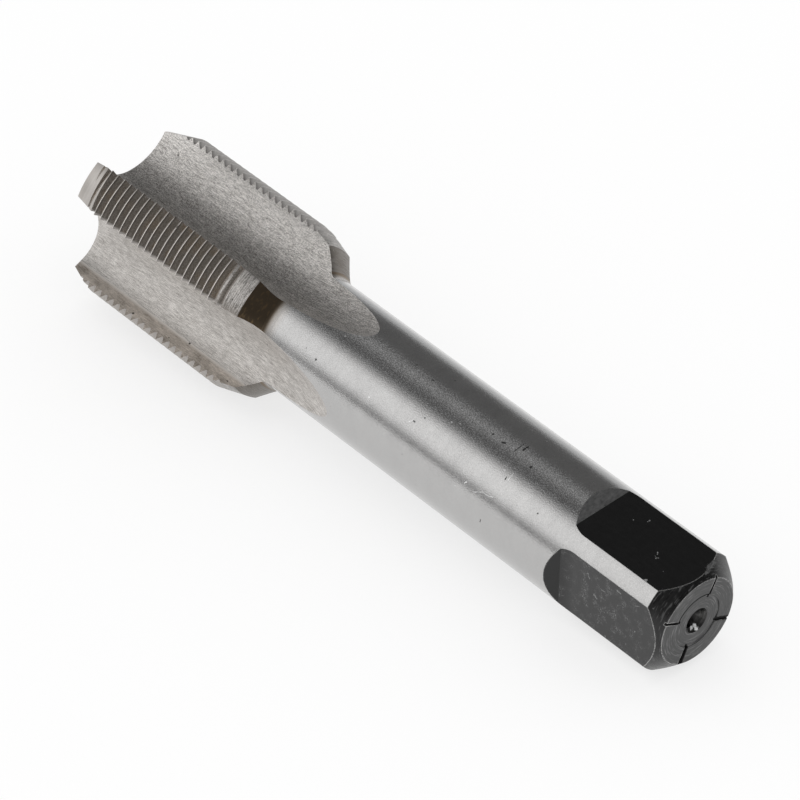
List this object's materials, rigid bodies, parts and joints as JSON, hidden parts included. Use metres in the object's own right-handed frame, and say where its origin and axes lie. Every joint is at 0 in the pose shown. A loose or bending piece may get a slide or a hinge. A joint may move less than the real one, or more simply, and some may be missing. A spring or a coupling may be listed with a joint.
{
  "type": "thread tap",
  "caption": "Straight-fluted hand tap with a threaded head, a coned shoulder behind it, a ground shank and a square drive end, for cutting a right-hand metric thread.",
  "frame": {"origin": "centre of the square end's face, on the tool's axis", "axes": "+X along the axis towards the cutting end, +Z out of one flat of the square, +Y out of the next flat"},
  "size_m": [0.127, 0.0264, 0.0264],
  "materials": {
    "tool_steel": "ground high-speed steel, with a black oxide on the square end and on the shoulder"
  },
  "bodies": {
    "root": {"tap": "tool_steel"}
  },
  "joints": []
}
